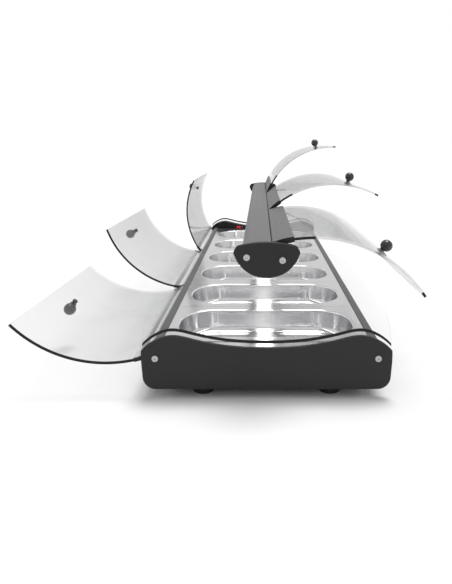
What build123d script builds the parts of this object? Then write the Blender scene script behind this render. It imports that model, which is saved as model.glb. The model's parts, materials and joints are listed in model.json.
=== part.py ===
from build123d import *
import os
from collections import namedtuple
from math import asin, atan2, cos, degrees, radians, sin, sqrt

# Countertop refrigerated display case: six pans between two rows of curved flap doors.
# Millimetres, X across, Y along the length with the near end at -Y, Z up.
# The origin is the centre of the underbody's underside, which stands on round feet.

# Heights over the underbody's underside
FOOT_HEIGHT = 12.0
RIM_HEIGHT = 62.0

# Pans, which set the length and the width of the case
PAN_COUNT = 6
PAN_LONG = 325.0
PAN_PITCH = 176.0
PAN_GAP = 0.6
PAN_SHEET = 1.0
PAN_DEPTH = 40.0
PAN_LEDGE = 10.0
PAN_RIM = 21.0
PAN_CORNER = 60.0
PAN_TAPER = 10.0
PAN_BOTTOM_ROUND = 12.0
PAN_FLANGE_ROUND = 2.0
PAN_LIP_ROUND = 2.0
NEAR_SPACE = 33.0
CONTROL_SPACE = 53.0

# End plates: a shoulder each side, a shallow dip between them
PLATE_THK = 6.0
PLATE_OVERHANG = 11.0
PLATE_PAD_INSET = 12.5
PLATE_PAD_BOTTOM = 6.0
PLATE_PAD_CLEARANCE = 0.3
PLATE_BOTTOM = 2.0
PLATE_EDGE_Z = 63.0
SHOULDER_INSET = 44.5
SHOULDER_Z = 86.7
DIP_Z = 67.6
PLATE_CORNER = 20.0
PLATE_LEAN = 3.0
PLATE_BEND_DROP = 16.0
# The wavy edge between edge, shoulder and dip: parts of the way across and up
WAVE_OUTER = (0.47, 0.7)
WAVE_HIGH = (0.77, 0.71)
WAVE_LOW = (0.446, 0.2)
EDGE_ROUND = 1.0

# End glass
END_GLASS_THK = 3.0
END_GLASS_INSET = 1.5
END_GLASS_BOTTOM = 44.0
DOME_RADIUS = 150.0
DOME_TOP = 222.0
TRIM_GAP = 6.0
TRIM_HEIGHT = 4.4
TRIM_THK = 1.5

# Underbody, foam and well
SHEET = 1.5
LINER_THK = 1.0
UNDERBODY_HEIGHT = 42.0
FOAM_SIDE = 0.7
FOAM_FLOOR = 9.0
FOAM_END = 9.0
WELL_LEDGE = 8.0
WELL_SLOPE_IN = 6.5
WELL_PLAY = 16.0
WELL_EDGE_ROUND = 2.0
FLANGE_GAP = 0.5
DRAIN_OUTER_R = 8.0
DRAIN_COLLAR_R = 9.0
DRAIN_HOLE_PLAY = 0.3
DRAIN_WALL = 2.0
DRAIN_DROP = 8.0
DRAIN_FROM_END = 32.0

# Side panels and rails
RAIL_GAP = 6.5
RAIL_WIDTH = 12.5
RAIL_RISE = 0.5
PANEL_LIP_BOTTOM = 10.0
PANEL_WALL = 2.0
RAIL_ROUND = 2.0
RIB_WIDTH = 10.0

# Feet
FOOT_R = 16.5
FOOT_INSET = 56.7
FOOT_FROM_END = 20.0
FOOT_SEAT = 0.5
FOOT_SEAT_PLAY = 0.3

# Evaporator tube under the pans
TUBE_R = 3.0
TUBE_WALL = 0.8
TUBE_BEND_SHARE = 0.48
TUBE_RUNS = 8
TUBE_PITCH = 36.0
TUBE_END_GAP = 18.0
TUBE_STUB = 40.0
TUBE_CLEARANCE = 1.0
NUT_LENGTH = 14.0
NUT_R = 6.5

# Spine beam, its end caps and its light
BEAM_WALL = 2.0
BEAM_TOP = 231.0
BEAM_LEFT = 38.5
BEAM_RIGHT = 29.0
BEAM_FLOOR = 187.0
BEAM_FLOOR_HALF = 22.0
BEAM_SHELF = 214.0
BEAM_CROWN = 0.3
BEAM_CROWN_X = -12.0
BEAM_EDGE = (8.5, 2.5)
BEAM_CHEEK = (1.5, 11.0)
BEAM_SIDE_DROP = 22.0
BEAM_FLANK_RISE = 13.0
BEAM_SHELF_SLOPE = 3.0
CAP_TOP = 232.0
CAP_HALF = 51.0
CAP_BOTTOM = 177.0
CAP_SHOULDER = 6.0
CAP_BELLY = 1.0
CAP_LEAN = 0.5
LENS_HALF = 16.0
LENS_WALL = 1.6
LENS_DROP = 6.4
STRIP_HALF = 6.0
STRIP_THK = 1.6
CHIP_COUNT = 22
CHIP_SIZE = 5.0
CHIP_THK = 0.8
LIGHT_END_GAP = 8.0

# Hinges shared by both rows of doors
ROD_R = 2.5
ROD_CLEARANCE = 0.05
BARREL_R = 4.7
BARREL_GAP = 0.7
TAB_R = 5.0
END_TAB_THK = 1.5
MID_TAB_THK = 1.2
TAB_TRIM = 1.0
GRIP_CLEARANCE = 0.1
PROFILE_CAP_THK = 1.5

# Doors
DOOR_COUNT = 3
DOOR_GAP = 2.0
DOOR_END_GAP = 0.5
DOOR_GLASS_THK = 4.0
DOOR_RADIUS = 205.0
BUMPER_LENGTH = 8.0

# Door knobs
KNOB_FROM_EDGE = 40.0
KNOB_BALL_R = 11.5
KNOB_STAND_OFF = 13.0
KNOB_NECK_R = 4.0
KNOB_BOLT_R = 2.5
KNOB_HOLE_R = 2.6
KNOB_WASHER_R = 6.0
KNOB_WASHER_THK = 1.5
KNOB_NUT_R = 4.8
KNOB_NUT_THK = 4.0
KNOB_NUT_SEAT = 0.1
KNOB_NUT_CROWN = 1.0

# End screws
SCREW_R = 2.0
SCREW_BORE_R = 2.05
SCREW_HOLE_R = 2.5
SCREW_HEAD_R = 5.15
SCREW_HEAD_THK = 2.2
SCREW_DEPTH = 18.0
SOCKET_R = 1.9
SOCKET_DEPTH = 1.4
SAME_PLACE = 0.01
PLATE_SCREW_INSET = 1.7
PLATE_SCREW_Z = 51.6
CAP_SCREWS = [(-30.2, 209.0, 6.4), (23.5, 204.6, 5.0)]

# Controls at the far end
HOUSING_DEPTH = 15.0
HOUSING_WALL = 2.0
HOUSING_DROP = 0.4
COVER_THK = 0.8
PAN_CLEARANCE = 0.6
THERMOSTAT_X = -86.0
THERMOSTAT_Z = 66.4
BEZEL_SIZE = (30.0, 8.8)
BEZEL_THK = 1.5
BEZEL_LIP = 1.4
THERMOSTAT_DEPTH = 10.0
DISPLAY_SIZE = (18.0, 6.4)
DISPLAY_SHIFT = -4.4
DISPLAY_THK = 1.0
BUTTON_R = 2.4
BUTTON_SHIFT = 9.5
BUTTON_LENGTH = 4.6
BUTTON_PROUD = 1.0
BUTTON_TRAVEL = 0.8
BUTTON_PLAY = 0.15

# Mains inlet with its rocker switch, in the far end plate
INLET_X = 118.0
INLET_Z = 28.0
INLET_SIZE = (54.0, 27.0)
INLET_LIP = 2.0
INLET_FLANGE_THK = 2.0
INLET_DEPTH = 30.0
INLET_PLAY = 0.2
SOCKET_SHIFT = -12.0
SOCKET_SIZE = (24.0, 16.0)
SOCKET_HOLE_DEPTH = 17.0
SOCKET_CORNER = 3.0
PIN_SIZE = (2.0, 4.0)
PIN_LENGTH = 11.0
PIN_SPREAD = 7.0
PIN_RISE = 2.0
ROCKER_SHIFT = 15.5
ROCKER_SIZE = (13.0, 19.0)
ROCKER_PLAY = 0.5
ROCKER_DEPTH = 6.0
ROCKER_POCKET = 11.0
ROCKER_TILT = 8.0
ROCKER_SWELL = 1.5
ROCKER_BACK_EASE = 1.0
TRUNNION_R = 1.2
TRUNNION_DEPTH = 1.2
TRUNNION_CLEARANCE = 0.05

# Left row of doors: the height of its pivot, the closed direction of the free edge from the pivot,
# where the glass starts, how far the free edge is from the pivot, how deep the glass is gripped and
# by how thick a wall, how long its edge strip is, and how far each door stands open
LEFT_PIVOT_Z = 52.0
LEFT_CLOSED = 48.6
LEFT_START = (9.0, 8.0)
LEFT_REACH = 215.5
LEFT_GRIP = 9.0
LEFT_WALL = 1.2
LEFT_STRIP = 202.0
LEFT_OPEN = (118.3, 93.6, 47.1)

# Right row of doors, in the same order, with its pivot's place across as well
RIGHT_PIVOT_X = 12.0
RIGHT_PIVOT_Z = 227.0
RIGHT_CLOSED = -43.8
RIGHT_START = (12.0, 9.0)
RIGHT_REACH = 245.4
RIGHT_GRIP = 16.0
RIGHT_WALL = 2.2
RIGHT_STRIP = 32.0
RIGHT_OPEN = (24.2, 51.8, 78.6)

# Sizes that follow
RAIL_INNER = PAN_LONG / 2 + RAIL_GAP
RAIL_OUTER = RAIL_INNER + RAIL_WIDTH
HALF_WIDTH = RAIL_OUTER + PLATE_OVERHANG
BODY_END = (NEAR_SPACE + PAN_COUNT * PAN_PITCH + CONTROL_SPACE) / 2
GLASS_FACE = BODY_END + END_GLASS_THK
HALF_LENGTH = GLASS_FACE + PLATE_THK
PAN_OPEN_LONG = PAN_LONG - 2 * PAN_LEDGE
PAN_OPEN_SHORT = PAN_PITCH - 2 * PAN_RIM
WELL_TOP_WIDTH = PAN_LONG - 2 * WELL_LEDGE
WELL_FLOOR_WIDTH = WELL_TOP_WIDTH - 2 * WELL_SLOPE_IN
FLANGE_WIDTH = 2 * (RAIL_INNER - FLANGE_GAP)
UNDERBODY_HALF = WELL_TOP_WIDTH / 2 + FOAM_SIDE + SHEET
FOOT_X = UNDERBODY_HALF - FOOT_INSET
PLATE_SCREW = (RAIL_INNER + PLATE_SCREW_INSET, PLATE_SCREW_Z)
FLANGE_TOP = RIM_HEIGHT - PAN_SHEET
FLANGE_BOTTOM = FLANGE_TOP - LINER_THK
FLOOR_UNDER = SHEET + FOAM_FLOOR
FLOOR_TOP = FLOOR_UNDER + LINER_THK
PANS_START = -BODY_END + NEAR_SPACE
PANS_END = PANS_START + PAN_COUNT * PAN_PITCH
WELL_NEAR = PANS_START + WELL_PLAY
WELL_FAR = PANS_END - WELL_PLAY
DRAIN_Y = WELL_FAR - DRAIN_FROM_END
TUBE_Z = FLOOR_TOP + TUBE_R
TUBE_X0 = -(TUBE_RUNS - 1) * TUBE_PITCH / 2
DOOR_PITCH = (2 * (BODY_END - END_TAB_THK - DOOR_END_GAP) + DOOR_GAP) / DOOR_COUNT
DOOR_LENGTH = DOOR_PITCH - DOOR_GAP
HOUSING_FRONT = BODY_END - HOUSING_DEPTH

Row = namedtuple("Row", "name pivot closed start reach grip wall strip open_angles")
LEFT_ROW = Row("left", (-RAIL_OUTER - BARREL_R - BARREL_GAP, LEFT_PIVOT_Z), LEFT_CLOSED, LEFT_START,
               LEFT_REACH, LEFT_GRIP, LEFT_WALL, LEFT_STRIP, LEFT_OPEN)
RIGHT_ROW = Row("right", (RIGHT_PIVOT_X, RIGHT_PIVOT_Z), RIGHT_CLOSED, RIGHT_START, RIGHT_REACH,
                RIGHT_GRIP, RIGHT_WALL, RIGHT_STRIP, RIGHT_OPEN)

os.makedirs("parts", exist_ok=True)


def section(y):
    # A plane across the length at Y = y: its own x is X, its own y is Z, and it extrudes to -Y.
    return Plane.XZ.offset(-y)


def save(part, name):
    part.label = name
    export_step(part, "parts/" + name + ".step")


def rect_between(x0, x1, z0, z1, mode=Mode.ADD):
    with Locations(((x0 + x1) / 2, (z0 + z1) / 2)):
        Rectangle(abs(x1 - x0), abs(z1 - z0), mode=mode)


def wave_points(half, lift):
    # The plate's top edge from +X to -X: edge, shoulder, dip, shoulder, edge.
    shoulder = HALF_WIDTH - SHOULDER_INSET
    rise = SHOULDER_Z - DIP_Z
    right = [
        (half, PLATE_EDGE_Z + lift),
        (half - WAVE_OUTER[0] * SHOULDER_INSET,
         PLATE_EDGE_Z + WAVE_OUTER[1] * (SHOULDER_Z - PLATE_EDGE_Z) + lift),
        (shoulder, SHOULDER_Z + lift),
        (WAVE_HIGH[0] * shoulder, DIP_Z + WAVE_HIGH[1] * rise + lift),
        (WAVE_LOW[0] * shoulder, DIP_Z + WAVE_LOW[1] * rise + lift),
    ]
    left = [(-x, z) for x, z in reversed(right)]
    return right + [(0, DIP_Z + lift)] + left


def plate_face():
    # The end plate's face, with slightly leaning sides and rounded lower corners.
    low = HALF_WIDTH - PLATE_LEAN
    bend = PLATE_EDGE_Z - PLATE_BEND_DROP
    with BuildSketch() as face:
        with BuildLine():
            Spline(*wave_points(HALF_WIDTH, 0))
            Polyline((HALF_WIDTH, PLATE_EDGE_Z), (HALF_WIDTH, bend), (low, PLATE_BOTTOM),
                     (-low, PLATE_BOTTOM), (-HALF_WIDTH, bend), (-HALF_WIDTH, PLATE_EDGE_Z))
        make_face()
        fillet(face.vertices().sort_by(Axis.Y)[:2], radius=PLATE_CORNER)
    return face.sketch


def end_plate(end):
    # end is -1 at the near end and 1 at the far end
    outer = end * HALF_LENGTH
    face = end * GLASS_FACE
    inner = end * BODY_END
    with BuildPart() as plate:
        with BuildSketch(section(max(outer, face))):
            add(plate_face())
        extrude(amount=PLATE_THK)
        rim = plate.faces().sort_by(Axis.Y)[0 if end < 0 else -1].edges()
        chamfer(rim, length=EDGE_ROUND)
        with BuildSketch(section(max(face, inner))):
            half = HALF_WIDTH - PLATE_PAD_INSET
            rect_between(-half, half, PLATE_PAD_BOTTOM, END_GLASS_BOTTOM - PLATE_PAD_CLEARANCE)
        extrude(amount=END_GLASS_THK)
        with BuildSketch(section(max(outer, inner))):
            with Locations((-PLATE_SCREW[0], PLATE_SCREW[1]), PLATE_SCREW):
                Circle(SCREW_HOLE_R)
        extrude(amount=HALF_LENGTH - BODY_END, mode=Mode.SUBTRACT)
        if end > 0:
            with BuildSketch(section(outer)):
                with Locations((INLET_X, INLET_Z)):
                    Rectangle(INLET_SIZE[0] + 2 * (INLET_LIP + INLET_PLAY),
                              INLET_SIZE[1] + 2 * (INLET_LIP + INLET_PLAY))
            extrude(amount=INLET_FLANGE_THK, mode=Mode.SUBTRACT)
            with BuildSketch(section(outer)):
                with Locations((INLET_X, INLET_Z)):
                    Rectangle(INLET_SIZE[0] + 2 * INLET_PLAY, INLET_SIZE[1] + 2 * INLET_PLAY)
            extrude(amount=HALF_LENGTH - BODY_END, mode=Mode.SUBTRACT)
    return plate.part


def end_glass(end):
    half = HALF_WIDTH - END_GLASS_INSET
    spring = DOME_TOP - DOME_RADIUS
    with BuildPart() as glass:
        with BuildSketch(section(max(end * GLASS_FACE, end * BODY_END))):
            with BuildLine():
                Line((-half, END_GLASS_BOTTOM), (half, END_GLASS_BOTTOM))
                for sign in (1, -1):
                    Line((sign * half, END_GLASS_BOTTOM), (sign * half, spring))
                    ThreePointArc((sign * half, spring),
                                  (sign * (half - DOME_RADIUS * (1 - cos(radians(45)))),
                                   spring + DOME_RADIUS * sin(radians(45))),
                                  (sign * (half - DOME_RADIUS), DOME_TOP))
                Line((half - DOME_RADIUS, DOME_TOP), (DOME_RADIUS - half, DOME_TOP))
            make_face()
            with Locations((-PLATE_SCREW[0], PLATE_SCREW[1]), PLATE_SCREW,
                           *[(x, z) for x, z, _ in CAP_SCREWS]):
                Circle(SCREW_HOLE_R, mode=Mode.SUBTRACT)
        extrude(amount=END_GLASS_THK)
    return glass.part


# End plates and end glass
save(end_plate(-1), "end_plate_near")
save(end_plate(1), "end_plate_far")
save(end_glass(-1), "end_glass_near")
save(end_glass(1), "end_glass_far")

# Black line along each end glass, parallel to the plate's top
with BuildPart() as end_trims:
    for end in (-1, 1):
        with BuildSketch(section(GLASS_FACE + TRIM_THK if end > 0 else -GLASS_FACE)):
            low = wave_points(HALF_WIDTH - END_GLASS_INSET, TRIM_GAP)
            high = wave_points(HALF_WIDTH - END_GLASS_INSET, TRIM_GAP + TRIM_HEIGHT)
            with BuildLine():
                Spline(*low)
                Spline(*high)
                Line(low[0], high[0])
                Line(low[-1], high[-1])
            make_face()
        extrude(amount=TRIM_THK)
save(end_trims.part, "end_trims")


def foot_spots():
    foot_y = BODY_END - FOOT_FROM_END
    return [(x, y) for x in (-FOOT_X, FOOT_X) for y in (-foot_y, foot_y)]


# Underbody: a folded sheet tray with a shallow seat for each foot
with BuildPart() as underbody:
    with BuildSketch():
        Rectangle(2 * UNDERBODY_HALF, 2 * BODY_END)
    extrude(amount=UNDERBODY_HEIGHT)
    with BuildSketch(Plane.XY.offset(SHEET)):
        Rectangle(2 * (UNDERBODY_HALF - SHEET), 2 * (BODY_END - SHEET))
    extrude(amount=UNDERBODY_HEIGHT, mode=Mode.SUBTRACT)
    with BuildSketch():
        with Locations((0, DRAIN_Y)):
            Circle(DRAIN_COLLAR_R + DRAIN_HOLE_PLAY)
    extrude(amount=SHEET, mode=Mode.SUBTRACT)
    with BuildSketch():
        with Locations(*foot_spots()):
            Circle(FOOT_R + FOOT_SEAT_PLAY)
    extrude(amount=FOOT_SEAT, mode=Mode.SUBTRACT)
    with BuildSketch(section(BODY_END)):
        with Locations((INLET_X, INLET_Z)):
            Rectangle(INLET_SIZE[0] + 2 * INLET_PLAY, INLET_SIZE[1] + 2 * INLET_PLAY)
    extrude(amount=SHEET, mode=Mode.SUBTRACT)
save(underbody.part, "underbody")


def trough(grow, floor, top):
    # The well's section, widened by grow on each side, from its floor to a height.
    slope = (WELL_TOP_WIDTH - WELL_FLOOR_WIDTH) / 2 / (FLANGE_TOP - FLOOR_TOP)
    low = WELL_FLOOR_WIDTH / 2 + grow + slope * (floor - FLOOR_TOP)
    high = WELL_FLOOR_WIDTH / 2 + grow + slope * (top - FLOOR_TOP)
    Polygon((-low, floor), (low, floor), (high, top), (-high, top), align=None)


def tube_holes(y, depth):
    with BuildSketch(section(y)) as holes:
        with Locations((TUBE_X0, TUBE_Z), (-TUBE_X0, TUBE_Z)):
            Circle(TUBE_R + TUBE_CLEARANCE)
    extrude(holes.sketch, amount=depth, mode=Mode.SUBTRACT)


# Foam round the well, with the connection space left free at the far end
with BuildPart() as insulation:
    foam_end = WELL_FAR + LINER_THK + FOAM_END
    with BuildSketch(section(foam_end)):
        rect_between(SHEET - UNDERBODY_HALF, UNDERBODY_HALF - SHEET, SHEET, UNDERBODY_HEIGHT)
    extrude(amount=foam_end + BODY_END - SHEET)
    with BuildSketch(section(WELL_FAR + LINER_THK)):
        trough(LINER_THK, FLOOR_UNDER, FLANGE_TOP)
    extrude(amount=WELL_FAR - WELL_NEAR + 2 * LINER_THK, mode=Mode.SUBTRACT)
    with BuildSketch(Plane.XY.offset(SHEET)):
        with Locations((0, DRAIN_Y)):
            Circle(DRAIN_COLLAR_R)
    extrude(amount=FOAM_FLOOR, mode=Mode.SUBTRACT)
    tube_holes(foam_end, FOAM_END)
save(insulation.part, "insulation")

# Well liner: flange, trough and its drain spigot
with BuildPart() as well_liner:
    with BuildSketch(Plane.XY.offset(FLANGE_BOTTOM)):
        Rectangle(FLANGE_WIDTH, 2 * BODY_END)
    extrude(amount=LINER_THK)
    with BuildSketch(section(WELL_FAR + LINER_THK)):
        trough(LINER_THK, FLOOR_UNDER, FLANGE_TOP)
    extrude(amount=WELL_FAR - WELL_NEAR + 2 * LINER_THK)
    with BuildSketch(section(WELL_FAR)):
        trough(0, FLOOR_TOP, FLANGE_TOP)
    extrude(amount=WELL_FAR - WELL_NEAR, mode=Mode.SUBTRACT)
    top_edges = well_liner.edges().filter_by(Axis.Y).group_by(Axis.Z)[-1]
    fillet(top_edges.sort_by(lambda edge: abs(edge.center().X))[:2], radius=WELL_EDGE_ROUND)
    with BuildSketch():
        with Locations((0, DRAIN_Y)):
            Circle(DRAIN_COLLAR_R)
    extrude(amount=FLOOR_UNDER)
    with BuildSketch():
        with Locations((0, DRAIN_Y)):
            Circle(DRAIN_OUTER_R)
    extrude(amount=-DRAIN_DROP)
    with BuildSketch(Plane.XY.offset(-DRAIN_DROP)):
        with Locations((0, DRAIN_Y)):
            Circle(DRAIN_OUTER_R - DRAIN_WALL)
    extrude(amount=FLOOR_TOP + DRAIN_DROP, mode=Mode.SUBTRACT)
    tube_holes(WELL_FAR + LINER_THK, LINER_THK)
save(well_liner.part, "well_liner")


def hinge_tabs(row, anchor_x, anchor_z):
    # Small ears that carry a hinge rod at both ends and between the doors.
    spots = [(BODY_END, END_TAB_THK), (END_TAB_THK - BODY_END, END_TAB_THK)]
    for i in range(1, DOOR_COUNT):
        spots.append((DOOR_PITCH * (i - DOOR_COUNT / 2) + MID_TAB_THK / 2, MID_TAB_THK))
    for y, thickness in spots:
        with BuildSketch(section(y)) as ear:
            with Locations(row.pivot):
                Circle(TAB_R)
            rect_between(anchor_x, row.pivot[0], anchor_z[0], anchor_z[1])
            with Locations(row.pivot):
                Circle(ROD_R, mode=Mode.SUBTRACT)
        extrude(ear.sketch, amount=thickness)


def side_panel(side):
    # Hollow rail over a web that laps the underbody; side is -1 on the left and 1 on the right
    inner = UNDERBODY_HALF
    web = inner + PANEL_WALL
    step = FLANGE_BOTTOM
    crest = RIM_HEIGHT + RAIL_RISE
    box = UNDERBODY_HEIGHT
    wall = PANEL_WALL
    outline = [(inner, PANEL_LIP_BOTTOM), (web, PANEL_LIP_BOTTOM), (web, box), (RAIL_OUTER, box),
               (RAIL_OUTER, crest), (RAIL_INNER, crest), (RAIL_INNER, step), (inner, step)]
    hollow = [(web, box + wall), (RAIL_OUTER - wall, box + wall), (RAIL_OUTER - wall, crest - wall),
              (RAIL_INNER + wall, crest - wall), (RAIL_INNER + wall, step - wall), (web, step - wall)]
    with BuildPart() as panel:
        with BuildSketch(section(BODY_END)) as face:
            Polygon(*[(side * x, z) for x, z in outline], align=None)
            outer = face.vertices().group_by(Axis.X)[0 if side < 0 else -1]
            fillet(outer, radius=RAIL_ROUND)
            Polygon(*[(side * x, z) for x, z in hollow], align=None, mode=Mode.SUBTRACT)
            rib = side * PLATE_SCREW[0]
            rect_between(rib - RIB_WIDTH / 2, rib + RIB_WIDTH / 2, box + wall / 2, step - wall / 2)
            with Locations((rib, PLATE_SCREW[1])):
                Circle(SCREW_BORE_R, mode=Mode.SUBTRACT)
        extrude(amount=2 * BODY_END)
        if side < 0:
            z = LEFT_ROW.pivot[1]
            hinge_tabs(LEFT_ROW, wall / 2 - RAIL_OUTER, (z - TAB_R, z + TAB_R))
    return panel.part


save(side_panel(-1), "side_panel_left")
save(side_panel(1), "side_panel_right")

# Round feet
with BuildPart() as feet:
    with BuildSketch(Plane.XY.offset(FOOT_SEAT)):
        with Locations(*foot_spots()):
            Circle(FOOT_R)
    extrude(amount=-FOOT_HEIGHT - FOOT_SEAT)
    fillet(feet.faces().sort_by(Axis.Z)[:4].edges(), radius=EDGE_ROUND)
save(feet.part, "feet")

# Evaporator tube on the well's floor, with a union nut on each stub
with BuildPart() as evaporator_coil:
    far_turn = WELL_FAR - TUBE_END_GAP
    near_turn = WELL_NEAR + TUBE_END_GAP
    stub_end = WELL_FAR + LINER_THK + TUBE_STUB
    route = [(TUBE_X0, stub_end)]
    for run in range(TUBE_RUNS):
        x = TUBE_X0 + run * TUBE_PITCH
        ends = (far_turn, near_turn) if run % 2 == 0 else (near_turn, far_turn)
        if run > 0:
            route.append((x, ends[0]))
        if run < TUBE_RUNS - 1:
            route.append((x, ends[1]))
    route.append((-TUBE_X0, stub_end))
    with BuildLine(Plane.XY.offset(TUBE_Z)):
        FilletPolyline(*route, radius=TUBE_BEND_SHARE * TUBE_PITCH)
    with BuildSketch(section(stub_end)):
        with Locations((TUBE_X0, TUBE_Z)):
            Circle(TUBE_R)
            Circle(TUBE_R - TUBE_WALL, mode=Mode.SUBTRACT)
    sweep()
with BuildPart() as union_nuts:
    with BuildSketch(section(stub_end + NUT_LENGTH / 2)):
        with Locations((TUBE_X0, TUBE_Z), (-TUBE_X0, TUBE_Z)):
            RegularPolygon(NUT_R, 6)
            Circle(TUBE_R, mode=Mode.SUBTRACT)
    extrude(amount=NUT_LENGTH)
save(Compound(children=[evaporator_coil.part, union_nuts.part]), "evaporator_coil")


def pan(index):
    middle = PANS_START + (index + 0.5) * PAN_PITCH
    with BuildPart() as well:
        with BuildSketch(Plane.XY.offset(RIM_HEIGHT)):
            with Locations((0, middle)):
                RectangleRounded(PAN_OPEN_LONG, PAN_OPEN_SHORT, PAN_CORNER)
        extrude(amount=-PAN_DEPTH, taper=PAN_TAPER)
        fillet(well.faces().sort_by(Axis.Z)[0].edges(), radius=PAN_BOTTOM_ROUND)
    with BuildPart() as tray:
        with BuildSketch(Plane.XY.offset(FLANGE_TOP)):
            with Locations((0, middle)):
                RectangleRounded(PAN_LONG, PAN_PITCH - PAN_GAP, PAN_FLANGE_ROUND)
        extrude(amount=PAN_SHEET)
        with BuildSketch(Plane.XY.offset(FLANGE_TOP)):
            with Locations((0, middle)):
                RectangleRounded(PAN_OPEN_LONG + 2 * PAN_SHEET, PAN_OPEN_SHORT + 2 * PAN_SHEET,
                                 PAN_CORNER + PAN_SHEET)
        extrude(amount=-PAN_DEPTH, taper=PAN_TAPER)
        fillet(tray.faces().sort_by(Axis.Z)[0].edges(), radius=PAN_BOTTOM_ROUND + PAN_SHEET)
        under = tray.faces().filter_by(Axis.Z).sort_by(Axis.Z)[1]
        fillet(under.inner_wires()[0].edges(), radius=PAN_LIP_ROUND)
        add(well.part, mode=Mode.SUBTRACT)
        top = tray.faces().filter_by(Axis.Z).sort_by(Axis.Z)[-1]
        fillet(top.inner_wires()[0].edges(), radius=PAN_LIP_ROUND + PAN_SHEET)
    return tray.part


for index in range(PAN_COUNT):
    save(pan(index), "pan_" + str(index + 1))

# Spine beam: a hollow extrusion with two screw bosses and the ears of the right hinge rod
with BuildPart() as spine_beam:
    hinge_side = RIGHT_ROW.pivot[0] - BARREL_R - BARREL_GAP
    with BuildSketch(section(BODY_END)):
        edge = (BEAM_EDGE[0] - BEAM_LEFT, BEAM_TOP - BEAM_EDGE[1])
        cheek = (BEAM_CHEEK[0] - BEAM_LEFT, BEAM_TOP - BEAM_CHEEK[1])
        flank = (-BEAM_LEFT, BEAM_TOP - BEAM_SIDE_DROP)
        with BuildLine():
            ThreePointArc((hinge_side, BEAM_TOP), (BEAM_CROWN_X, BEAM_TOP + BEAM_CROWN), edge)
            ThreePointArc(edge, cheek, flank)
            Polyline(flank, (-BEAM_FLOOR_HALF, BEAM_FLOOR), (BEAM_FLOOR_HALF, BEAM_FLOOR),
                     (BEAM_RIGHT, BEAM_FLOOR + BEAM_FLANK_RISE), (BEAM_RIGHT, BEAM_SHELF - BEAM_SHELF_SLOPE),
                     (hinge_side, BEAM_SHELF), (hinge_side, BEAM_TOP))
        make_face()
        offset(amount=-BEAM_WALL, mode=Mode.SUBTRACT)
        for x, z, boss in CAP_SCREWS:
            with Locations((x, z)):
                Circle(boss)
        for x, z, boss in CAP_SCREWS:
            with Locations((x, z)):
                Circle(SCREW_BORE_R, mode=Mode.SUBTRACT)
    extrude(amount=2 * BODY_END)
    hinge_tabs(RIGHT_ROW, hinge_side - BEAM_WALL / 2,
               (RIGHT_ROW.pivot[1] - TAB_R, RIGHT_ROW.pivot[1] + TAB_R - TAB_TRIM))
save(spine_beam.part, "spine_beam")


def spine_cap(end):
    radius = CAP_HALF + CAP_BELLY
    reach = CAP_HALF - CAP_LEAN
    low = (reach, CAP_BOTTOM + radius - sqrt(radius ** 2 - reach ** 2))
    high = (CAP_HALF - CAP_SHOULDER, CAP_TOP - CAP_SHOULDER)
    with BuildPart() as cap:
        with BuildSketch(section(HALF_LENGTH if end > 0 else -GLASS_FACE)) as face:
            with BuildLine():
                ThreePointArc((-high[0], high[1]), (0, CAP_TOP), high)
                ThreePointArc(low, (0, CAP_BOTTOM), (-low[0], low[1]))
                Line(high, low)
                Line((-high[0], high[1]), (-low[0], low[1]))
            make_face()
            fillet(face.vertices(), radius=CAP_SHOULDER)
            with Locations(*[(x, z) for x, z, _ in CAP_SCREWS]):
                Circle(SCREW_HOLE_R, mode=Mode.SUBTRACT)
        extrude(amount=PLATE_THK)
        outer = cap.faces().sort_by(Axis.Y)[0 if end < 0 else -1]
        chamfer(outer.outer_wire().edges(), length=EDGE_ROUND)
    return cap.part


save(spine_cap(-1), "spine_cap_near")
save(spine_cap(1), "spine_cap_far")

# Hinge rods: one behind the left rail, one beside the beam
with BuildPart() as hinge_rods:
    for row in (LEFT_ROW, RIGHT_ROW):
        with BuildSketch(section(BODY_END)):
            with Locations(row.pivot):
                Circle(ROD_R)
        extrude(amount=2 * BODY_END)
save(hinge_rods.part, "hinge_rods")

# Screws: two in each plate, two in each spine cap
with BuildPart() as end_screws:
    spots = [(-PLATE_SCREW[0], PLATE_SCREW[1]), PLATE_SCREW] + [(x, z) for x, z, _ in CAP_SCREWS]
    for end in (-1, 1):
        seat = end * HALF_LENGTH
        head = seat + end * SCREW_HEAD_THK
        tip = end * (BODY_END - SCREW_DEPTH)
        with BuildSketch(section(max(seat, tip))):
            with Locations(*spots):
                Circle(SCREW_R)
        extrude(amount=abs(seat - tip))
        with BuildSketch(section(max(seat, head))):
            with Locations(*spots):
                Circle(SCREW_HEAD_R)
        extrude(amount=SCREW_HEAD_THK)
        circles = end_screws.edges().filter_by(GeomType.CIRCLE)
        rims = circles.filter_by_position(Axis.Y, head - SAME_PLACE, head + SAME_PLACE)
        fillet(rims, radius=EDGE_ROUND)
        with BuildSketch(section(head if end > 0 else head + SOCKET_DEPTH)):
            with Locations(*spots):
                RegularPolygon(SOCKET_R, 6)
        extrude(amount=SOCKET_DEPTH, mode=Mode.SUBTRACT)
save(end_screws.part, "end_screws")

# Light under the beam: a strip with its chips, and a lens over it
with BuildPart() as led_strip:
    light_end = BODY_END - LIGHT_END_GAP
    with BuildSketch(Plane.XY.offset(BEAM_FLOOR)):
        Rectangle(2 * STRIP_HALF, 2 * light_end)
    extrude(amount=-STRIP_THK)
    with BuildSketch(Plane.XY.offset(BEAM_FLOOR - STRIP_THK)):
        with GridLocations(1, 2 * light_end / CHIP_COUNT, 1, CHIP_COUNT):
            Rectangle(CHIP_SIZE, CHIP_SIZE)
    extrude(amount=-CHIP_THK)
save(led_strip.part, "led_strip")

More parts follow.
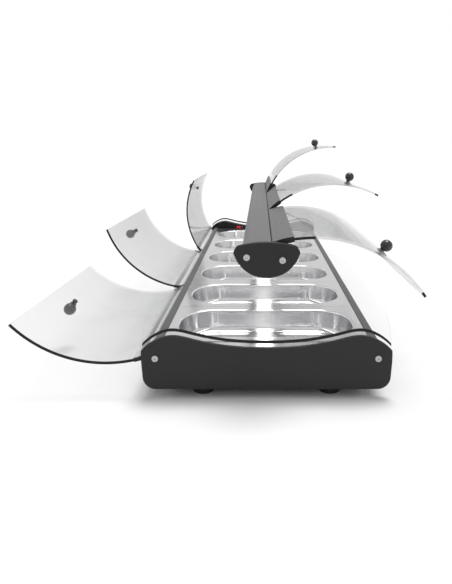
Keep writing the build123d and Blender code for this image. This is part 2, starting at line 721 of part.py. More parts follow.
with BuildPart() as light_diffuser:
    inner = LENS_HALF - LENS_WALL
    with BuildSketch(section(BODY_END)):
        with BuildLine():
            Line((-LENS_HALF, BEAM_FLOOR), (LENS_HALF, BEAM_FLOOR))
            ThreePointArc((LENS_HALF, BEAM_FLOOR), (0, BEAM_FLOOR - LENS_DROP), (-LENS_HALF, BEAM_FLOOR))
        make_face()
        with BuildLine():
            Line((-inner, BEAM_FLOOR), (inner, BEAM_FLOOR))
            ThreePointArc((inner, BEAM_FLOOR), (0, BEAM_FLOOR - LENS_DROP + LENS_WALL),
                          (-inner, BEAM_FLOOR))
        make_face(mode=Mode.SUBTRACT)
    extrude(amount=2 * BODY_END)
save(light_diffuser.part, "light_diffuser")


def under_wave(drop):
    # A face bounded by the plate's top edge, lowered by drop
    points = wave_points(HALF_WIDTH, -drop)
    with BuildSketch() as face:
        with BuildLine():
            Spline(*points)
            Polyline(points[0], (HALF_WIDTH, 0), (-HALF_WIDTH, 0), points[-1])
        make_face()
    return face.sketch


# Control housing: a low cover behind the last pan and a shell against the far end glass
with BuildPart() as control_housing:
    cover_start = PANS_END + PAN_CLEARANCE
    with BuildSketch(section(HOUSING_FRONT)):
        rect_between(-FLANGE_WIDTH / 2, FLANGE_WIDTH / 2, FLANGE_TOP, FLANGE_TOP + COVER_THK)
    extrude(amount=HOUSING_FRONT - cover_start)
    with BuildSketch(section(BODY_END)):
        add(under_wave(HOUSING_DROP))
        rect_between(-FLANGE_WIDTH / 2, FLANGE_WIDTH / 2, FLANGE_TOP, SHOULDER_Z, mode=Mode.INTERSECT)
    extrude(amount=HOUSING_DEPTH)
    with BuildSketch(section(BODY_END)):
        add(under_wave(HOUSING_DROP + HOUSING_WALL))
        rect_between(HOUSING_WALL - FLANGE_WIDTH / 2, FLANGE_WIDTH / 2 - HOUSING_WALL,
                     FLANGE_TOP + HOUSING_WALL, SHOULDER_Z, mode=Mode.INTERSECT)
    extrude(amount=HOUSING_DEPTH - HOUSING_WALL, mode=Mode.SUBTRACT)
    with BuildSketch(section(HOUSING_FRONT + HOUSING_WALL)):
        with Locations((THERMOSTAT_X, THERMOSTAT_Z)):
            Rectangle(BEZEL_SIZE[0] - 2 * BEZEL_LIP, BEZEL_SIZE[1] - 2 * BEZEL_LIP)
    extrude(amount=HOUSING_WALL, mode=Mode.SUBTRACT)
save(control_housing.part, "control_housing")

# Thermostat: bezel and body, with its display window as a piece of its own
with BuildPart() as thermostat:
    bezel_face = HOUSING_FRONT - BEZEL_THK
    with BuildSketch(section(HOUSING_FRONT)):
        with Locations((THERMOSTAT_X, THERMOSTAT_Z)):
            Rectangle(*BEZEL_SIZE)
    extrude(amount=BEZEL_THK)
    with BuildSketch(section(HOUSING_FRONT + THERMOSTAT_DEPTH)):
        with Locations((THERMOSTAT_X, THERMOSTAT_Z)):
            Rectangle(BEZEL_SIZE[0] - 2 * BEZEL_LIP, BEZEL_SIZE[1] - 2 * BEZEL_LIP)
    extrude(amount=THERMOSTAT_DEPTH)
    with BuildSketch(section(bezel_face + DISPLAY_THK)):
        with Locations((THERMOSTAT_X + DISPLAY_SHIFT, THERMOSTAT_Z)):
            Rectangle(*DISPLAY_SIZE)
    extrude(amount=DISPLAY_THK, mode=Mode.SUBTRACT)
    with BuildSketch(section(bezel_face + BUTTON_LENGTH)):
        with Locations((THERMOSTAT_X + BUTTON_SHIFT, THERMOSTAT_Z)):
            Circle(BUTTON_R + BUTTON_PLAY)
    extrude(amount=BUTTON_LENGTH, mode=Mode.SUBTRACT)
with BuildPart() as display_window:
    with BuildSketch(section(bezel_face + DISPLAY_THK)):
        with Locations((THERMOSTAT_X + DISPLAY_SHIFT, THERMOSTAT_Z)):
            Rectangle(*DISPLAY_SIZE)
    extrude(amount=DISPLAY_THK)
save(Compound(children=[thermostat.part, display_window.part]), "thermostat")

with BuildPart() as thermostat_button:
    button_back = bezel_face - BUTTON_PROUD + BUTTON_LENGTH - BUTTON_TRAVEL + BUTTON_PLAY
    with BuildSketch(section(button_back)):
        with Locations((THERMOSTAT_X + BUTTON_SHIFT, THERMOSTAT_Z)):
            Circle(BUTTON_R)
    extrude(amount=button_back - bezel_face + BUTTON_PROUD)
save(thermostat_button.part, "thermostat_button")

# Mains inlet: flange flush in the far plate, a socket with three pins, a pocket for the rocker
with BuildPart() as power_inlet:
    with BuildSketch(section(HALF_LENGTH)):
        with Locations((INLET_X, INLET_Z)):
            Rectangle(INLET_SIZE[0] + 2 * INLET_LIP, INLET_SIZE[1] + 2 * INLET_LIP)
    extrude(amount=INLET_FLANGE_THK)
    with BuildSketch(section(HALF_LENGTH)):
        with Locations((INLET_X, INLET_Z)):
            Rectangle(*INLET_SIZE)
    extrude(amount=INLET_DEPTH)
    with BuildSketch(section(HALF_LENGTH)):
        with Locations((INLET_X + SOCKET_SHIFT, INLET_Z)):
            RectangleRounded(*SOCKET_SIZE, SOCKET_CORNER)
    extrude(amount=SOCKET_HOLE_DEPTH, mode=Mode.SUBTRACT)
    with BuildSketch(section(HALF_LENGTH - SOCKET_HOLE_DEPTH + PIN_LENGTH)):
        with Locations((INLET_X + SOCKET_SHIFT - PIN_SPREAD, INLET_Z - PIN_RISE),
                       (INLET_X + SOCKET_SHIFT, INLET_Z + PIN_RISE),
                       (INLET_X + SOCKET_SHIFT + PIN_SPREAD, INLET_Z - PIN_RISE)):
            Rectangle(*PIN_SIZE)
    extrude(amount=PIN_LENGTH)
    with BuildSketch(section(HALF_LENGTH)):
        with Locations((INLET_X + ROCKER_SHIFT, INLET_Z)):
            Rectangle(ROCKER_SIZE[0] + 2 * ROCKER_PLAY, ROCKER_SIZE[1] + 2 * ROCKER_PLAY)
    extrude(amount=ROCKER_POCKET, mode=Mode.SUBTRACT)
    pivot_y = HALF_LENGTH - ROCKER_DEPTH / 2 - INLET_FLANGE_THK
    trunnion = ROCKER_SIZE[0] / 2 + ROCKER_PLAY + TRUNNION_DEPTH
    with BuildSketch(Plane.YZ.offset(INLET_X + ROCKER_SHIFT - trunnion)):
        with Locations((pivot_y, INLET_Z)):
            Circle(TRUNNION_R + TRUNNION_CLEARANCE)
    extrude(amount=2 * trunnion, mode=Mode.SUBTRACT)
save(power_inlet.part, "power_inlet")

# Rocker: two sloping faces, turned to one of its two stops
rocker_plane = Plane(origin=(INLET_X + ROCKER_SHIFT, pivot_y, INLET_Z),
                     x_dir=(0, cos(radians(ROCKER_TILT)), sin(radians(ROCKER_TILT))), z_dir=(1, 0, 0))
with BuildPart() as power_rocker:
    half_z = ROCKER_SIZE[1] / 2 - ROCKER_PLAY
    half_y = ROCKER_DEPTH / 2
    with BuildSketch(rocker_plane.offset(-ROCKER_SIZE[0] / 2)):
        back = half_z - ROCKER_BACK_EASE
        crest = half_y + ROCKER_SWELL
        Polygon((-half_y, back), (-half_y, -back), (crest, -half_z), (half_y, 0), (crest, half_z),
                align=None)
    extrude(amount=ROCKER_SIZE[0])
    with BuildSketch(rocker_plane.offset(ROCKER_PLAY / 2 - trunnion)):
        Circle(TRUNNION_R)
    extrude(amount=2 * trunnion - ROCKER_PLAY)
save(power_rocker.part, "power_rocker")


def arc_frame(row):
    # Centre of the glass arc in the door's own frame, and the angles of its hinge and free edges.
    (ua, va), ub = row.start, row.reach
    chord = sqrt((ub - ua) ** 2 + va ** 2)
    sink = sqrt(DOOR_RADIUS ** 2 - chord ** 2 / 4)
    centre = ((ua + ub) / 2 - va / chord * sink, va / 2 - (ub - ua) / chord * sink)
    hinge_edge = degrees(atan2(va - centre[1], ua - centre[0]))
    free_edge = degrees(atan2(-centre[1], ub - centre[0]))
    return centre, hinge_edge, free_edge


def arc_band(centre, inner, outer, start, stop, mode=Mode.ADD):
    with BuildLine() as edge:
        low = CenterArc(centre, inner, start, stop - start)
        high = CenterArc(centre, outer, start, stop - start)
        Line(low @ 0, high @ 0)
        Line(low @ 1, high @ 1)
    make_face(edge.edges(), mode=mode)


def along(length):
    # Angle that a length along the glass takes up
    return degrees(length / DOOR_RADIUS)


class Door:
    # Door number index of a row, at the angle at which it stands open
    def __init__(self, row, index):
        self.row = row
        self.centre, self.hinge_edge, self.free_edge = arc_frame(row)
        self.angle = row.closed + row.open_angles[index]
        self.grip_half = DOOR_GLASS_THK / 2 + row.wall
        self.middle = DOOR_PITCH * (index + 0.5 - DOOR_COUNT / 2)

    def plane(self, y):
        turn = radians(self.angle)
        return Plane(origin=(self.row.pivot[0], y, self.row.pivot[1]),
                     x_dir=(cos(turn), 0, sin(turn)), z_dir=(0, -1, 0))

    def knob_plane(self):
        spot = radians(self.free_edge + along(KNOB_FROM_EDGE))
        base = self.plane(self.middle)
        origin = base.from_local_coords((self.centre[0] + DOOR_RADIUS * cos(spot),
                                         self.centre[1] + DOOR_RADIUS * sin(spot), 0))
        outward = base.x_dir * cos(spot) + base.y_dir * sin(spot)
        return Plane(origin=origin, x_dir=(0, 1, 0), z_dir=outward)

    def glass(self):
        half = DOOR_LENGTH / 2 - PROFILE_CAP_THK
        with BuildPart() as pane:
            with BuildSketch(self.plane(self.middle + half)):
                arc_band(self.centre, DOOR_RADIUS - DOOR_GLASS_THK / 2, DOOR_RADIUS + DOOR_GLASS_THK / 2,
                         self.hinge_edge, self.free_edge)
            extrude(amount=2 * half)
            with BuildSketch(self.knob_plane()):
                Circle(KNOB_HOLE_R)
            extrude(amount=DOOR_GLASS_THK, both=True, mode=Mode.SUBTRACT)
        return pane.part

    def grip_section(self):
        # Barrel, neck and the channel that grips the glass
        reach = asin(self.row.wall / DOOR_RADIUS)
        arc_band(self.centre, DOOR_RADIUS - self.grip_half, DOOR_RADIUS + self.grip_half,
                 self.hinge_edge + degrees(reach), self.hinge_edge - along(self.row.grip))
        Circle(BARREL_R)
        u, v = self.row.start
        length = sqrt(u ** 2 + v ** 2)
        side = (-v / length * self.grip_half, u / length * self.grip_half)
        Polygon((side[0], side[1]), (-side[0], -side[1]), (u - side[0], v - side[1]),
                (u + side[0], v + side[1]), align=None)
        Circle(ROD_R + ROD_CLEARANCE, mode=Mode.SUBTRACT)

    def hinge_profile(self):
        half = DOOR_LENGTH / 2 - PROFILE_CAP_THK
        with BuildPart() as profile:
            with BuildSketch(self.plane(self.middle + half)):
                self.grip_section()
                grip = DOOR_GLASS_THK / 2 + GRIP_CLEARANCE
                arc_band(self.centre, DOOR_RADIUS - grip, DOOR_RADIUS + grip, self.hinge_edge,
                         self.hinge_edge - along(self.row.grip + self.row.wall), mode=Mode.SUBTRACT)
            extrude(amount=2 * half)
        return profile.part

    def profile_caps(self):
        half = DOOR_LENGTH / 2
        with BuildPart() as caps:
            for y in (self.middle + half, self.middle - half + PROFILE_CAP_THK):
                with BuildSketch(self.plane(y)):
                    self.grip_section()
                extrude(amount=PROFILE_CAP_THK)
        return caps.part

    def edge_seals(self):
        # A strip on the near edge face of the glass, from the cap on, and a bumper at the free corner
        near = self.middle - DOOR_LENGTH / 2 + PROFILE_CAP_THK
        start = self.hinge_edge - along(self.row.grip)
        strip_end = start - along(self.row.strip)
        bumper_start = self.free_edge + along(BUMPER_LENGTH)
        inner = DOOR_RADIUS - DOOR_GLASS_THK / 2
        outer = DOOR_RADIUS + DOOR_GLASS_THK / 2
        with BuildPart() as seals:
            with BuildSketch(self.plane(near)):
                arc_band(self.centre, inner, outer, start, strip_end)
                arc_band(self.centre, inner, outer, bumper_start, self.free_edge)
            extrude(amount=PROFILE_CAP_THK)
        return seals.part

    def knob(self):
        face = self.knob_plane()
        outer = DOOR_GLASS_THK / 2
        neck_top = outer + KNOB_STAND_OFF
        seat = -outer - KNOB_NUT_SEAT
        bolt_end = seat - KNOB_NUT_THK + KNOB_NUT_CROWN
        with BuildPart() as ball:
            with BuildSketch(Plane(origin=face.origin, x_dir=face.x_dir, z_dir=-face.y_dir)):
                with BuildLine():
                    Polyline((0, bolt_end), (KNOB_BOLT_R, bolt_end),
                             (KNOB_BOLT_R, outer + KNOB_WASHER_THK), (KNOB_NECK_R, outer + KNOB_WASHER_THK),
                             (KNOB_NECK_R, neck_top - sqrt(KNOB_BALL_R ** 2 - KNOB_NECK_R ** 2)))
                    ThreePointArc((KNOB_NECK_R, neck_top - sqrt(KNOB_BALL_R ** 2 - KNOB_NECK_R ** 2)),
                                  (KNOB_BALL_R, neck_top), (0, neck_top + KNOB_BALL_R))
                    Line((0, neck_top + KNOB_BALL_R), (0, bolt_end))
                make_face()
            revolve(axis=Axis(face.origin, face.z_dir))
        with BuildPart() as washer:
            with BuildSketch(face.offset(outer)):
                Circle(KNOB_WASHER_R)
                Circle(KNOB_BOLT_R, mode=Mode.SUBTRACT)
            extrude(amount=KNOB_WASHER_THK)
        with BuildPart() as nut:
            with BuildSketch(face.offset(seat - KNOB_NUT_THK)):
                Circle(KNOB_NUT_R)
            extrude(amount=KNOB_NUT_THK)
            fillet(nut.edges().sort_by(Axis(face.origin, face.z_dir))[0], radius=EDGE_ROUND)
            with BuildSketch(face.offset(bolt_end)):
                Circle(KNOB_BOLT_R)
            extrude(amount=KNOB_NUT_THK, mode=Mode.SUBTRACT)
        return Compound(children=[ball.part, washer.part, nut.part])


# Doors, near to far in each row
for row in (LEFT_ROW, RIGHT_ROW):
    for index in range(DOOR_COUNT):
        door = Door(row, index)
        prefix = row.name + "_door_" + str(index + 1) + "_"
        save(door.glass(), prefix + "glass")
        save(door.hinge_profile(), prefix + "hinge_profile")
        save(door.profile_caps(), prefix + "profile_caps")
        save(door.edge_seals(), prefix + "edge_seals")
        save(door.knob(), prefix + "knob")
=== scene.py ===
import json
import math

import bmesh
import bpy
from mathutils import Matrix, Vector


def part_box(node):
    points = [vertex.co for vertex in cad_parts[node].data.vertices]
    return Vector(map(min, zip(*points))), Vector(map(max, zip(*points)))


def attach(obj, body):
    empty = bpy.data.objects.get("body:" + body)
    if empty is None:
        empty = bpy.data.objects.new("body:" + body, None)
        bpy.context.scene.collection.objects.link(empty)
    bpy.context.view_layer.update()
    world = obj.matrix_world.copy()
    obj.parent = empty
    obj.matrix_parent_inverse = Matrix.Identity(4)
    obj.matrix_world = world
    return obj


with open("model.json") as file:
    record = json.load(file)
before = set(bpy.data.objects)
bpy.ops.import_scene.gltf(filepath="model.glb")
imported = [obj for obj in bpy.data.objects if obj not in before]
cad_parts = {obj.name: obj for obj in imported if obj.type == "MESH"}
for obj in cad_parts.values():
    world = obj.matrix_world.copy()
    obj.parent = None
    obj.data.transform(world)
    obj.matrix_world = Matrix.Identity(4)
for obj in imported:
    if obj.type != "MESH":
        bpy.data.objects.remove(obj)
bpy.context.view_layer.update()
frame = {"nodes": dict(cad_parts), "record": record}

# Camera, as the photograph's frame of 452 by 584 pixels shows it
FRAME_WIDTH_PX = 452
FRAME_HEIGHT_PX = 584
PRINCIPAL_X_PX = 260.4
PRINCIPAL_Y_PX = 200.0
FOCAL_PX = 508.6
SENSOR_MM = 36.0
CAMERA_PLACE = (-0.0096, -1.3255, 0.3792)
CAMERA_PITCH = 6.41

# Signs of a rectangle's corners, in turn
CORNER_SIGNS = ((-1, -1), (1, -1), (1, 1), (-1, 1))

# Floor level and how far the stage reaches
FLOOR_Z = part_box("feet")[0][2]
STAGE_REACH = 60.0

# Studio: how bright the world is for what it lights, mirrors and shows, and where the sun stands
WORLD_LIGHT = 0.52
WORLD_MIRRORED = 0.85
WORLD_SEEN = 1.0
SUN_FROM = (0.12, 0.22, 0.97)
SUN_STRENGTH = 2.3
SUN_SPREAD = 28.0

# Lit reading on the thermostat's window
WINDOW_SIZE = (0.018, 0.0064)
WINDOW_SHIFT = -0.0044
READING = ("0", "3.", "5")
DIGIT_SIZE = (0.0026, 0.0042)
DIGIT_PITCH = 0.0048
SEGMENT_HALF = 0.00034
SEGMENT_GAP = 0.00012
GLOW_INSET = 0.0003
GLOW_PROUD = 0.00012
GLOW_BEVEL_SHARE = 0.8
DIGIT_PROUD = 0.00028
DOT_SIDES = 8
SEGMENTS = {"0": "abcdef", "3": "abcdg", "5": "acdfg"}
SEGMENT_ENDS = {
    "a": ((-1, 1), (1, 1)),
    "b": ((1, 1), (1, 0)),
    "c": ((1, 0), (1, -1)),
    "d": ((1, -1), (-1, -1)),
    "e": ((-1, -1), (-1, 0)),
    "f": ((-1, 0), (-1, 1)),
    "g": ((-1, 0), (1, 0)),
}

# Brass sleeves on the pins of the mains inlet
PIN_SIZE = (0.00206, 0.00406)
PIN_LENGTH = 0.0108
PIN_TIP_SHARE = 1 / 8
PIN_BEVEL_SHARE = 1 / 5
PIN_SPREAD = 0.007
PIN_RISE = 0.002
SOCKET_SHIFT = -0.012
SOCKET_DEPTH = 0.017

# Brushed metal: how much of its shade is streaks and not smears, and the depth of the streaks
STREAK_SHARE = 0.75
BRUSH_RELIEF = 0.0003

# Clear sheet: its refraction, and how far its colour drifts
SHEET_IOR = 1.49
SHEET_DRIFT = 1.04

# Lit surfaces: how dark their dimmer patches are, in colour and in light
PATCH_COLOUR = 0.94
PATCH_LIGHT = 0.92


class Nodes:
    """One material's node tree, with short calls for the nodes that the finishes share."""

    def __init__(self, name):
        self.material = bpy.data.materials.new(name)
        self.material.use_nodes = True
        self.tree = self.material.node_tree
        self.shader = self.tree.nodes["Principled BSDF"]
        self.place = self.add("ShaderNodeTexCoord").outputs["Object"]

    def add(self, kind):
        return self.tree.nodes.new(kind)

    def link(self, source, target):
        self.tree.links.new(source, target)

    def set(self, **values):
        for key, value in values.items():
            self.shader.inputs[key.replace("_", " ")].default_value = value

    def stretched(self, scale):
        mapping = self.add("ShaderNodeMapping")
        mapping.inputs["Scale"].default_value = scale
        self.link(self.place, mapping.inputs["Vector"])
        return mapping.outputs["Vector"]

    def noise(self, scale, detail=3.0, rough=0.5, stretch=(1, 1, 1)):
        node = self.add("ShaderNodeTexNoise")
        node.inputs["Scale"].default_value = scale
        node.inputs["Detail"].default_value = detail
        node.inputs["Roughness"].default_value = rough
        self.link(self.stretched(stretch), node.inputs["Vector"])
        return node.outputs["Fac"]

    def span(self, source, low, high, from_low=0.3, from_high=0.7):
        node = self.add("ShaderNodeMapRange")
        node.inputs["From Min"].default_value = from_low
        node.inputs["From Max"].default_value = from_high
        node.inputs["To Min"].default_value = low
        node.inputs["To Max"].default_value = high
        self.link(source, node.inputs["Value"])
        return node.outputs["Result"]

    def colours(self, source, first, second, low=0.3, high=0.7):
        ramp = self.add("ShaderNodeValToRGB")
        ramp.color_ramp.elements[0].position = low
        ramp.color_ramp.elements[1].position = high
        ramp.color_ramp.elements[0].color = (*first, 1)
        ramp.color_ramp.elements[1].color = (*second, 1)
        self.link(source, ramp.inputs["Fac"])
        return ramp.outputs["Color"]

    def bump(self, height, strength, distance):
        node = self.add("ShaderNodeBump")
        node.inputs["Strength"].default_value = strength
        node.inputs["Distance"].default_value = distance
        self.link(height, node.inputs["Height"])
        self.link(node.outputs["Normal"], self.shader.inputs["Normal"])

    def feed(self, socket, source):
        self.link(source, self.shader.inputs[socket])


def grained(name, colour, shade, rough, grain_scale, bump_strength, bump_distance, **fixed):
    """A moulded or powder-coated finish: soft colour drift, fine grain, uneven gloss."""
    n = Nodes(name)
    drift = n.noise(scale=9.0, detail=4.0, rough=0.55)
    grain = n.noise(scale=grain_scale, detail=2.0, rough=0.6)
    darker = tuple(c * shade for c in colour)
    n.feed("Base Color", n.colours(drift, darker, colour))
    n.feed("Roughness", n.span(drift, rough[0], rough[1]))
    n.bump(grain, bump_strength, bump_distance)
    n.set(**fixed)
    return n.material


def brushed(name, colour, shade, rough, stretch, bump_strength, metallic, **fixed):
    """A drawn or brushed metal: long fine streaks in colour, gloss and relief, with faint smears."""
    n = Nodes(name)
    streak = n.noise(scale=60.0, detail=4.0, rough=0.65, stretch=stretch)
    smear = n.noise(scale=6.0, detail=3.0, rough=0.5)
    darker = tuple(c * shade for c in colour)
    mix = n.add("ShaderNodeMath")
    mix.operation = "MULTIPLY_ADD"
    mix.inputs[1].default_value = STREAK_SHARE
    n.link(streak, mix.inputs[0])
    scaled = n.add("ShaderNodeMath")
    scaled.operation = "MULTIPLY"
    scaled.inputs[1].default_value = 1 - STREAK_SHARE
    n.link(smear, scaled.inputs[0])
    n.link(scaled.outputs[0], mix.inputs[2])
    n.feed("Base Color", n.colours(mix.outputs[0], darker, colour))
    n.feed("Roughness", n.span(mix.outputs[0], rough[0], rough[1]))
    n.bump(streak, bump_strength, BRUSH_RELIEF)
    n.set(Metallic=metallic, **fixed)
    return n.material


def clear_sheet(name, colour, thin, thick, steep, haze, shine=0.5):
    """Clear sheet seen through: thin face on, denser towards grazing, with faint wipe marks."""
    n = Nodes(name)
    facing = n.add("ShaderNodeLayerWeight")
    facing.inputs["Blend"].default_value = 0.5
    curve = n.add("ShaderNodeMath")
    curve.operation = "POWER"
    curve.inputs[1].default_value = steep
    n.link(facing.outputs["Facing"], curve.inputs[0])
    wipe = n.noise(scale=5.0, detail=1.0, rough=0.5, stretch=(1, 0.4, 1))
    cover = n.span(curve.outputs[0], low=thin, high=thick, from_low=0.0, from_high=1.0)
    marks = n.span(wipe, low=0.0, high=haze, from_low=0.45, from_high=0.8)
    total = n.add("ShaderNodeMath")
    total.operation = "ADD"
    n.link(cover, total.inputs[0])
    n.link(marks, total.inputs[1])
    n.feed("Alpha", total.outputs[0])
    paler = tuple(min(1.0, c * SHEET_DRIFT) for c in colour)
    n.feed("Roughness", n.span(wipe, low=0.03, high=0.09))
    n.feed("Base Color", n.colours(wipe, colour, paler))
    n.set(IOR=SHEET_IOR, Specular_IOR_Level=shine)
    return n.material


def lit(name, colour, strength, patch_scale):
    """A surface that gives light, a little unevenly."""
    n = Nodes(name)
    patch = n.noise(scale=patch_scale, detail=2.0, rough=0.5)
    n.feed("Base Color", n.colours(patch, tuple(c * PATCH_COLOUR for c in colour), colour))
    n.feed("Emission Strength", n.span(patch, strength * PATCH_LIGHT, strength))
    n.set(Emission_Color=(*colour, 1), Roughness=0.4)
    return n.material


def metal_finishes():
    grey = (0.135, 0.135, 0.139)
    # The rails' grey is a darker copy of the beam's anodised grey: painted shade, standing in for the shade
    # that falls on the rails' sides.
    rail_grey_painted_shade = (0.085, 0.085, 0.088)
    steel = (0.66, 0.66, 0.67)
    return {
        "grey_aluminium": brushed("grey_anodised", grey, shade=0.86, rough=(0.42, 0.55),
                                  stretch=(1, 0.02, 1), bump_strength=0.05, metallic=0.3,
                                  Specular_IOR_Level=0.3),
        "rail_aluminium": brushed("rail_anodised_painted_shade", rail_grey_painted_shade, shade=0.86, rough=(0.42, 0.55),
                                  stretch=(1, 0.02, 1), bump_strength=0.05, metallic=0.3,
                                  Specular_IOR_Level=0.3),
        "stainless": brushed("brushed_steel", steel, shade=0.93, rough=(0.13, 0.22), stretch=(0.02, 1, 1),
                             bump_strength=0.04, metallic=1.0),
        "copper_tube": brushed("drawn_copper", (0.72, 0.36, 0.2), shade=0.75, rough=(0.25, 0.42),
                               stretch=(1, 0.03, 1), bump_strength=0.1, metallic=1.0),
        "screw_steel": brushed("turned_steel", (0.5, 0.5, 0.5), shade=0.8, rough=(0.25, 0.4),
                               stretch=(1, 1, 1), bump_strength=0.08, metallic=0.9),
        "brass": brushed("contact_brass", (0.78, 0.6, 0.3), shade=0.8, rough=(0.25, 0.4),
                         stretch=(1, 0.05, 1), bump_strength=0.05, metallic=1.0),
    }


def moulded_finishes():
    coat = (0.021, 0.021, 0.0215)
    moulding = (0.019, 0.019, 0.0195)
    return {
        "dark_metal": grained("dark_powder_coat", coat, shade=0.86, rough=(0.42, 0.52), grain_scale=1500.0,
                              bump_strength=0.12, bump_distance=0.0002, Specular_IOR_Level=0.3),
        "dark_plastic": grained("dark_moulding", moulding, shade=0.85, rough=(0.48, 0.6),
                                grain_scale=2400.0, bump_strength=0.15, bump_distance=0.0002,
                                Specular_IOR_Level=0.3),
        "foam": grained("pale_foam", (0.72, 0.64, 0.42), shade=0.82, rough=(0.8, 0.95), grain_scale=900.0,
                        bump_strength=0.5, bump_distance=0.0006),
        "black_rubber": grained("black_rubber", (0.014, 0.014, 0.014), shade=0.8, rough=(0.6, 0.75),
                                grain_scale=1800.0, bump_strength=0.2, bump_distance=0.0002,
                                Specular_IOR_Level=0.3),
        "thermostat_face": grained("gloss_fascia", (0.012, 0.012, 0.013), shade=0.8, rough=(0.12, 0.2),
                                   grain_scale=600.0, bump_strength=0.03, bump_distance=0.0001),
        "black_gloss": grained("black_gloss", (0.012, 0.012, 0.012), shade=0.8, rough=(0.16, 0.26),
                               grain_scale=900.0, bump_strength=0.04, bump_distance=0.0001,
                               Coat_Weight=0.3, Coat_Roughness=0.08),
        "rocker_red": grained("red_rocker", (0.45, 0.012, 0.01), shade=0.8, rough=(0.2, 0.3),
                              grain_scale=900.0, bump_strength=0.05, bump_distance=0.0001),
        "button_grey": grained("grey_button", (0.22, 0.22, 0.22), shade=0.85, rough=(0.4, 0.5),
                               grain_scale=1400.0, bump_strength=0.1, bump_distance=0.0002),
    }


def clear_finishes():
    pane = (0.60, 0.61, 0.61)
    flap = (0.25, 0.254, 0.258)
    profile = (0.45, 0.46, 0.46)
    return {
        "clear_glass": clear_sheet("end_pane", pane, thin=0.012, thick=0.7, steep=5.0, haze=0.003),
        "door_glass": clear_sheet("flap_pane", flap, thin=0.05, thick=1.0, steep=4.2, haze=0.003,
                                  shine=0.35),
        "clear_profile": clear_sheet("clear_profile", profile, thin=0.04, thick=0.8, steep=4.0, haze=0.003),
    }


def lit_finishes():
    return {
        "led_white": lit("light_chips", (1.0, 0.98, 0.93), strength=6.0, patch_scale=40.0),
        "diffuser": lit("opal_lens", (1.0, 0.99, 0.96), strength=3.5, patch_scale=12.0),
        "window_glow": lit("window_glow", (0.55, 0.004, 0.02), strength=0.3, patch_scale=400.0),
        "digit_glow": lit("digit_glow", (1.0, 0.05, 0.06), strength=1.4, patch_scale=400.0),
    }


FINISHES = {**metal_finishes(), **moulded_finishes(), **clear_finishes(), **lit_finishes()}
SLOT_OF = {entry["node"]: entry["material_slot"] for entry in frame["record"]["subparts"]}


def dress_nodes():
    for name, obj in frame["nodes"].items():
        obj.data.materials.clear()
        obj.data.materials.append(FINISHES[SLOT_OF[name]])


def add_piece(name, bm, finish, body="case"):
    """A new mesh piece with its finish, riding on a CAD body."""
    mesh = bpy.data.meshes.new(name)
    bmesh.ops.recalc_face_normals(bm, faces=bm.faces)
    bm.to_mesh(mesh)
    bm.free()
    mesh.materials.append(FINISHES[finish])
    obj = bpy.data.objects.new(name, mesh)
    bpy.context.collection.objects.link(obj)
    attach(obj, body)
    return obj


def prism(bm, outline, y_front, y_back):
    """Extrude an outline of (x, z) points between two places along the length."""
    front = [bm.verts.new((x, y_front, z)) for x, z in outline]
    back = [bm.verts.new((x, y_back, z)) for x, z in outline]
    bm.faces.new(front)
    bm.faces.new(back)
    count = len(outline)
    for i in range(count):
        j = (i + 1) % count
        bm.faces.new((front[i], front[j], back[j], back[i]))


def segment_outline(start, end):
    """A bar with pointed ends between two points of a digit."""
    a, b = Vector(start), Vector(end)
    way = (b - a).normalized()
    side = Vector((-way.y, way.x)) * SEGMENT_HALF
    tip_a, tip_b = a + way * SEGMENT_GAP, b - way * SEGMENT_GAP
    body_a, body_b = tip_a + way * SEGMENT_HALF, tip_b - way * SEGMENT_HALF
    return [tip_a, body_a + side, body_b + side, tip_b, body_b - side, body_a - side]


def thermostat_reading():
    low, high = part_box("thermostat")
    face = low[1]
    middle_x = (low[0] + high[0]) / 2 + WINDOW_SHIFT
    middle_z = (low[2] + high[2]) / 2
    half_w = WINDOW_SIZE[0] / 2 - GLOW_INSET
    half_h = WINDOW_SIZE[1] / 2 - GLOW_INSET
    glow = bmesh.new()
    corners = [(middle_x + u * half_w, middle_z + v * half_h) for u, v in CORNER_SIGNS]
    prism(glow, corners, face - GLOW_PROUD, face)
    bevel_edges = [e for e in glow.edges if all(v.co.y < face for v in e.verts)]
    bevel = GLOW_PROUD * GLOW_BEVEL_SHARE
    bmesh.ops.bevel(glow, geom=bevel_edges, offset=bevel, segments=2, affect="EDGES")
    add_piece("display_glow", glow, "window_glow")
    digits = bmesh.new()
    half_x, half_z = DIGIT_SIZE[0] / 2, DIGIT_SIZE[1] / 2
    for index, mark in enumerate(READING):
        x = middle_x + (index - (len(READING) - 1) / 2) * DIGIT_PITCH
        for letter in SEGMENTS[mark[0]]:
            ends = [(x + u * half_x, middle_z + v * half_z) for u, v in SEGMENT_ENDS[letter]]
            prism(digits, segment_outline(*ends), face - DIGIT_PROUD, face)
        if mark.endswith("."):
            dot_x = x + DIGIT_PITCH / 2
            turns = [2 * math.pi * side / DOT_SIDES for side in range(DOT_SIDES)]
            dot = [(dot_x + SEGMENT_HALF * math.cos(turn),
                    middle_z - half_z + SEGMENT_HALF * math.sin(turn)) for turn in turns]
            prism(digits, dot, face - DIGIT_PROUD, face)
    add_piece("display_digits", digits, "digit_glow")


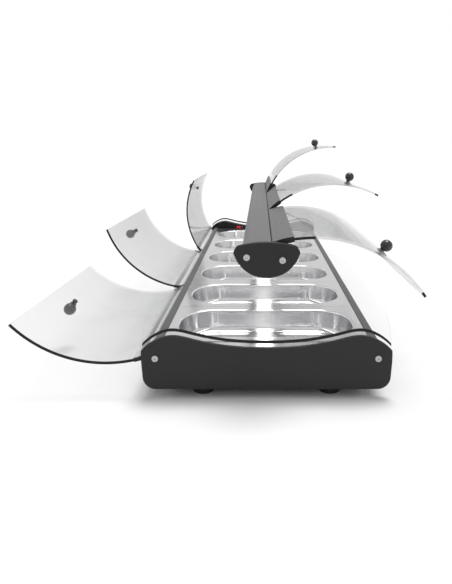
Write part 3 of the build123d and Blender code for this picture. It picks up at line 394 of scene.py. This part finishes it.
def inlet_contacts():
    low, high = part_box("power_inlet")
    middle_x = (low[0] + high[0]) / 2 + SOCKET_SHIFT
    middle_z = (low[2] + high[2]) / 2
    foot = high[1] - SOCKET_DEPTH
    pins = bmesh.new()
    half_x, half_z = PIN_SIZE[0] / 2, PIN_SIZE[1] / 2
    for shift, rise in ((-PIN_SPREAD, -PIN_RISE), (0, PIN_RISE), (PIN_SPREAD, -PIN_RISE)):
        x, z = middle_x + shift, middle_z + rise
        corners = [(x + u * half_x, z + v * half_z) for u, v in CORNER_SIGNS]
        prism(pins, corners, foot, foot + PIN_LENGTH + PIN_SIZE[0] * PIN_TIP_SHARE)
    tips = [e for e in pins.edges if all(v.co.y > foot + PIN_LENGTH / 2 for v in e.verts)]
    bmesh.ops.bevel(pins, geom=tips, offset=PIN_SIZE[0] * PIN_BEVEL_SHARE, segments=3, affect="EDGES")
    add_piece("inlet_contacts", pins, "brass")


def stage_floor():
    """Plain pale floor that keeps the shadow."""
    mesh = bpy.data.meshes.new("floor")
    corners = [(u * STAGE_REACH, v * STAGE_REACH, FLOOR_Z) for u, v in CORNER_SIGNS]
    mesh.from_pydata(corners, [], [(0, 1, 2, 3)])
    floor = bpy.data.objects.new("floor", mesh)
    bpy.context.collection.objects.link(floor)
    n = Nodes("floor")
    speck = n.noise(scale=3.0, detail=2.0, rough=0.5)
    n.feed("Base Color", n.colours(speck, first=(0.86, 0.86, 0.86), second=(0.88, 0.88, 0.88)))
    n.set(Roughness=0.9, Specular_IOR_Level=0.1)
    mesh.materials.append(n.material)


def world_light():
    world = bpy.data.worlds.new("studio")
    bpy.context.scene.world = world
    world.use_nodes = True
    tree = world.node_tree
    background = tree.nodes["Background"]
    background.inputs["Color"].default_value = (1, 1, 1, 1)
    paths = tree.nodes.new("ShaderNodeLightPath")
    strength = None
    for ray, level in (("Is Glossy Ray", WORLD_MIRRORED), ("Is Camera Ray", WORLD_SEEN)):
        step = tree.nodes.new("ShaderNodeMath")
        step.operation = "MULTIPLY_ADD"
        step.inputs[1].default_value = level - WORLD_LIGHT
        step.inputs[2].default_value = WORLD_LIGHT
        tree.links.new(paths.outputs[ray], step.inputs[0])
        if strength:
            tree.links.new(strength, step.inputs[2])
        strength = step.outputs[0]
    tree.links.new(strength, background.inputs["Strength"])


def stage_sun():
    data = bpy.data.lights.new("sun", "SUN")
    data.energy = SUN_STRENGTH
    data.angle = math.radians(SUN_SPREAD)
    sun = bpy.data.objects.new("sun", data)
    sun.rotation_euler = Vector(SUN_FROM).to_track_quat("Z", "Y").to_euler()
    bpy.context.collection.objects.link(sun)


def stage_camera():
    data = bpy.data.cameras.new("camera")
    data.sensor_width = SENSOR_MM
    data.lens = FOCAL_PX / FRAME_HEIGHT_PX * SENSOR_MM
    data.shift_x = (FRAME_WIDTH_PX / 2 - PRINCIPAL_X_PX) / FRAME_HEIGHT_PX
    data.shift_y = (PRINCIPAL_Y_PX - FRAME_HEIGHT_PX / 2) / FRAME_HEIGHT_PX
    camera = bpy.data.objects.new("camera", data)
    camera.location = CAMERA_PLACE
    camera.rotation_euler = (math.radians(90 - CAMERA_PITCH), 0, 0)
    bpy.context.collection.objects.link(camera)
    bpy.context.scene.camera = camera


dress_nodes()
thermostat_reading()
inlet_contacts()
stage_floor()
world_light()
stage_sun()
stage_camera()
bpy.context.scene.view_settings.view_transform = "Standard"
